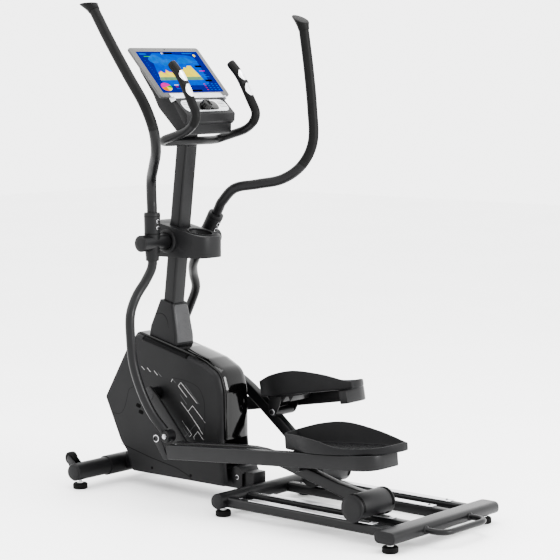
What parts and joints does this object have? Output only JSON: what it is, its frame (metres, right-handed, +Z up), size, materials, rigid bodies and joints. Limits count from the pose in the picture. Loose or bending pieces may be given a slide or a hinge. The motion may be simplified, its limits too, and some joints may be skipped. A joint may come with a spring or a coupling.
{
  "type": "elliptical trainer",
  "caption": "Front-drive elliptical cross trainer with swing arms, roller arms on twin tracks, large pedals, fixed grips and a tilted screen.",
  "frame": {"origin": "centre of the bounding box on the floor, between the levelling feet", "axes": "+Z up; +X to the rear, where the user steps on; -Y to the user's left"},
  "size_m": [1.5176, 0.6204, 1.6444],
  "materials": {
    "aluminium": "brushed",
    "black_rubber": "matte",
    "bright_steel": "turned",
    "gloss_black_plastic": "gloss",
    "grey_bezel": "satin",
    "satin_black_plastic": "fine texture",
    "satin_black_steel": "satin powder coat",
    "silver_plastic": "satin silver"
  },
  "bodies": {
    "frame": {"front_stabiliser": "satin_black_steel", "mid_stabiliser": "satin_black_steel", "rear_stabiliser": "satin_black_steel", "base_beam": "satin_black_steel", "rail_left_outer": "satin_black_steel", "rail_left_inner": "satin_black_steel", "rail_right_outer": "satin_black_steel", "rail_right_inner": "satin_black_steel", "track_left_outer": "aluminium", "track_left_inner": "aluminium", "track_right_outer": "aluminium", "track_right_inner": "aluminium", "mast": "satin_black_steel", "housing_left": "satin_black_plastic", "housing_right": "satin_black_plastic", "housing_cover": "gloss_black_plastic", "mast_cover": "satin_black_plastic", "pivot_cover": "satin_black_plastic", "pivot_axle": "bright_steel", "drive_belt": "black_rubber", "console_back": "satin_black_plastic", "console_panel": "satin_black_plastic", "console_ledge": "silver_plastic", "fixed_handlebar": "satin_black_steel"},
    "crank": {"crank_axle": "bright_steel", "crank_left": "satin_black_steel", "crank_right": "satin_black_steel", "drive_pulley": "aluminium"},
    "flywheel": {"flywheel": "satin_black_steel"},
    "tablet": {"tablet": "grey_bezel"},
    "control_knob": {"control_knob": "gloss_black_plastic"},
    "transport_wheel_left": {"transport_wheel_left": "black_rubber"},
    "swing_arm_left": {"swing_upper_left": "satin_black_steel", "swing_joint_left": "satin_black_steel", "swing_lower_left": "satin_black_steel"},
    "carriage_left": {"roller_axle_left": "bright_steel"},
    "roller_arm_left": {"roller_arm_left": "satin_black_steel", "roller_cover_left": "satin_black_plastic"},
    "pedal_arm_left": {"pedal_arm_left": "satin_black_steel", "pedal_left": "satin_black_plastic"},
    "roller_left_outer": {"roller_left_outer": "black_rubber"},
    "roller_left_inner": {"roller_left_inner": "black_rubber"},
    "foot_front_left": {"foot_front_left": "black_rubber"},
    "foot_mid_left": {"foot_mid_left": "black_rubber"},
    "foot_rear_left": {"foot_rear_left": "black_rubber"},
    "transport_wheel_right": {"transport_wheel_right": "black_rubber"},
    "swing_arm_right": {"swing_upper_right": "satin_black_steel", "swing_joint_right": "satin_black_steel", "swing_lower_right": "satin_black_steel"},
    "carriage_right": {"roller_axle_right": "bright_steel"},
    "roller_arm_right": {"roller_arm_right": "satin_black_steel", "roller_cover_right": "satin_black_plastic"},
    "pedal_arm_right": {"pedal_arm_right": "satin_black_steel", "pedal_right": "satin_black_plastic"},
    "roller_right_outer": {"roller_right_outer": "black_rubber"},
    "roller_right_inner": {"roller_right_inner": "black_rubber"},
    "foot_front_right": {"foot_front_right": "black_rubber"},
    "foot_mid_right": {"foot_mid_right": "black_rubber"},
    "foot_rear_right": {"foot_rear_right": "black_rubber"}
  },
  "joints": [
    {"name": "swing_left", "type": "hinge", "parent": "frame", "child": "swing_arm_left", "pos_m": [-0.4351, 0, 0.8537], "axis": [0, 1, 0], "range_deg": [0, 31.98]},
    {"name": "swing_right", "type": "hinge", "parent": "frame", "child": "swing_arm_right", "pos_m": [-0.4351, 0, 0.8537], "axis": [0, 1, 0], "range_deg": [-32.01, 0]},
    {"name": "carriage_left", "type": "slide", "parent": "frame", "child": "carriage_left", "axis": [1, 0, 0], "range_m": [-0.4078, 0]},
    {"name": "roller_arm_left", "type": "hinge", "parent": "carriage_left", "child": "roller_arm_left", "pos_m": [0.48873, 0, 0.1065], "axis": [0, -1, 0], "range_deg": [-23.67, 0]},
    {"name": "pedal_left", "type": "hinge", "parent": "roller_arm_left", "child": "pedal_arm_left", "pos_m": [0.24065, 0, 0.1954], "axis": [0, -1, 0], "range_deg": [0, 29.21]},
    {"name": "roller_left_outer", "type": "hinge", "parent": "carriage_left", "child": "roller_left_outer", "pos_m": [0.48873, -0.1994, 0.1065], "axis": [0, 1, 0], "continuous": true},
    {"name": "roller_left_inner", "type": "hinge", "parent": "carriage_left", "child": "roller_left_inner", "pos_m": [0.48873, -0.1036, 0.1065], "axis": [0, 1, 0], "continuous": true},
    {"name": "carriage_right", "type": "slide", "parent": "frame", "child": "carriage_right", "axis": [1, 0, 0], "range_m": [0, 0.4078]},
    {"name": "roller_arm_right", "type": "hinge", "parent": "carriage_right", "child": "roller_arm_right", "pos_m": [0.08114, 0, 0.1065], "axis": [0, -1, 0], "range_deg": [0, 23.67]},
    {"name": "pedal_right", "type": "hinge", "parent": "roller_arm_right", "child": "pedal_arm_right", "pos_m": [-0.11042, 0, 0.28747], "axis": [0, -1, 0], "range_deg": [-29.21, 0]},
    {"name": "roller_right_outer", "type": "hinge", "parent": "carriage_right", "child": "roller_right_outer", "pos_m": [0.08114, 0.1994, 0.1065], "axis": [0, 1, 0], "continuous": true},
    {"name": "roller_right_inner", "type": "hinge", "parent": "carriage_right", "child": "roller_right_inner", "pos_m": [0.08114, 0.1036, 0.1065], "axis": [0, 1, 0], "continuous": true},
    {"name": "crank", "type": "hinge", "parent": "frame", "child": "crank", "pos_m": [-0.4682, 0, 0.337], "axis": [0, -1, 0], "continuous": true},
    {"name": "flywheel", "type": "hinge", "parent": "frame", "child": "flywheel", "pos_m": [-0.2918, 0, 0.245], "axis": [0, -1, 0], "continuous": true},
    {"name": "tablet_lift", "type": "slide", "parent": "frame", "child": "tablet", "axis": [-0.6845, 0, 0.729], "range_m": [0, 0.1]},
    {"name": "knob_turn", "type": "hinge", "parent": "frame", "child": "control_knob", "pos_m": [-0.30621, 0, 1.30147], "axis": [0.6584, 0, 0.7527], "continuous": true},
    {"name": "transport_wheel_left", "type": "hinge", "parent": "frame", "child": "transport_wheel_left", "pos_m": [-0.7368, -0.225, 0.102], "axis": [0, 1, 0], "continuous": true},
    {"name": "transport_wheel_right", "type": "hinge", "parent": "frame", "child": "transport_wheel_right", "pos_m": [-0.7368, 0.225, 0.102], "axis": [0, 1, 0], "continuous": true},
    {"name": "foot_front_left", "type": "hinge", "parent": "frame", "child": "foot_front_left", "pos_m": [-0.7038, -0.217, 0], "axis": [0, 0, 1], "continuous": true},
    {"name": "foot_front_right", "type": "hinge", "parent": "frame", "child": "foot_front_right", "pos_m": [-0.7038, 0.217, 0], "axis": [0, 0, 1], "continuous": true},
    {"name": "foot_mid_left", "type": "hinge", "parent": "frame", "child": "foot_mid_left", "pos_m": [-0.0542, -0.209, 0], "axis": [0, 0, 1], "continuous": true},
    {"name": "foot_mid_right", "type": "hinge", "parent": "frame", "child": "foot_mid_right", "pos_m": [-0.0542, 0.209, 0], "axis": [0, 0, 1], "continuous": true},
    {"name": "foot_rear_left", "type": "hinge", "parent": "frame", "child": "foot_rear_left", "pos_m": [0.6434, -0.245, 0], "axis": [0, 0, 1], "continuous": true},
    {"name": "foot_rear_right", "type": "hinge", "parent": "frame", "child": "foot_rear_right", "pos_m": [0.6434, 0.245, 0], "axis": [0, 0, 1], "continuous": true}
  ],
  "couplings": [
    {"joint": "swing_right", "follows": "swing_left", "ratio": -1},
    {"joint": "carriage_left", "follows": "swing_left", "m_per_rad": -0.73027},
    {"joint": "roller_arm_left", "follows": "swing_left", "ratio": -0.7397},
    {"joint": "pedal_left", "follows": "swing_left", "ratio": 0.91284},
    {"joint": "roller_left_outer", "follows": "swing_left", "ratio": -18.488},
    {"joint": "roller_left_inner", "follows": "swing_left", "ratio": -18.488},
    {"joint": "carriage_right", "follows": "swing_left", "m_per_rad": 0.73027},
    {"joint": "roller_arm_right", "follows": "swing_left", "ratio": 0.7397},
    {"joint": "pedal_right", "follows": "swing_left", "ratio": -0.91284},
    {"joint": "roller_right_outer", "follows": "swing_left", "ratio": 18.488},
    {"joint": "roller_right_inner", "follows": "swing_left", "ratio": 18.488},
    {"joint": "crank", "follows": "swing_left", "ratio": 5.6287},
    {"joint": "flywheel", "follows": "swing_left", "ratio": 25.979}
  ]
}
